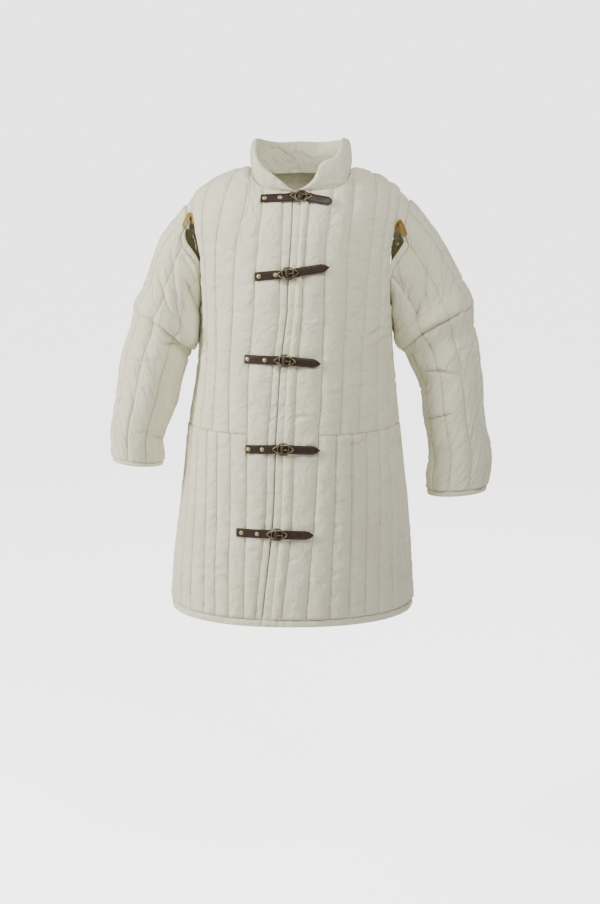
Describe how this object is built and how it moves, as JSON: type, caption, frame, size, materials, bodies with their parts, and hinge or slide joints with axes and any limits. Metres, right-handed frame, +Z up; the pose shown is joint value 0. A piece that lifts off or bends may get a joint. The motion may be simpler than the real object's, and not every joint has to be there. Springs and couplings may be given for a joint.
{
  "type": "gambeson",
  "caption": "Knee-length padded coat of quilted off-white cotton with long sleeves, stand collar, waist seam and a front closed by brown leather straps and buckles.",
  "frame": {"origin": "the middle of the shoulders at the base of the neck, where the wearer holds the coat up", "axes": "+Z up along the wearer, -Y to the wearer's front, +X to the wearer's left"},
  "size_m": [0.842, 0.413, 1.0387],
  "materials": {
    "natural_cotton": "quilted plain-weave cotton, matt",
    "cotton_binding": "folded cotton binding, matt",
    "brown_leather": "dark brown vegetable-tanned leather, dull",
    "tan_leather": "golden tan leather, stitched",
    "old_brass": "aged cast brass",
    "pale_nickel": "pale worn brass"
  },
  "bodies": {
    "root": {"bodice_back": "natural_cotton", "bodice_front_left": "natural_cotton", "bodice_front_right": "natural_cotton", "buckle_1": "old_brass", "buckle_2": "old_brass", "buckle_3": "old_brass", "buckle_4": "old_brass", "buckle_5": "old_brass", "chape_1": "brown_leather", "chape_2": "brown_leather", "chape_3": "brown_leather", "chape_4": "brown_leather", "chape_5": "brown_leather", "collar": "natural_cotton", "cuff_binding_left": "cotton_binding", "cuff_binding_right": "cotton_binding", "front_binding_left": "cotton_binding", "front_binding_right": "cotton_binding", "front_centre_left": "natural_cotton", "front_centre_right": "natural_cotton", "hem_binding": "cotton_binding", "rivet_1_a": "pale_nickel", "rivet_1_b": "pale_nickel", "rivet_2_a": "pale_nickel", "rivet_2_b": "pale_nickel", "rivet_3_a": "pale_nickel", "rivet_3_b": "pale_nickel", "rivet_4_a": "pale_nickel", "rivet_4_b": "pale_nickel", "rivet_5_a": "pale_nickel", "rivet_5_b": "pale_nickel", "skirt_back": "natural_cotton", "skirt_front_left": "natural_cotton", "skirt_front_right": "natural_cotton", "sleeve_head_left": "cotton_binding", "sleeve_head_right": "cotton_binding", "sleeve_left": "natural_cotton", "sleeve_right": "natural_cotton", "slit_leather_left": "tan_leather", "slit_leather_right": "tan_leather", "strap_1": "brown_leather", "strap_2": "brown_leather", "strap_3": "brown_leather", "strap_4": "brown_leather", "strap_5": "brown_leather", "tongue_1": "old_brass", "tongue_2": "old_brass", "tongue_3": "old_brass", "tongue_4": "old_brass", "tongue_5": "old_brass", "underarm_left": "natural_cotton", "underarm_right": "natural_cotton"}
  },
  "joints": []
}
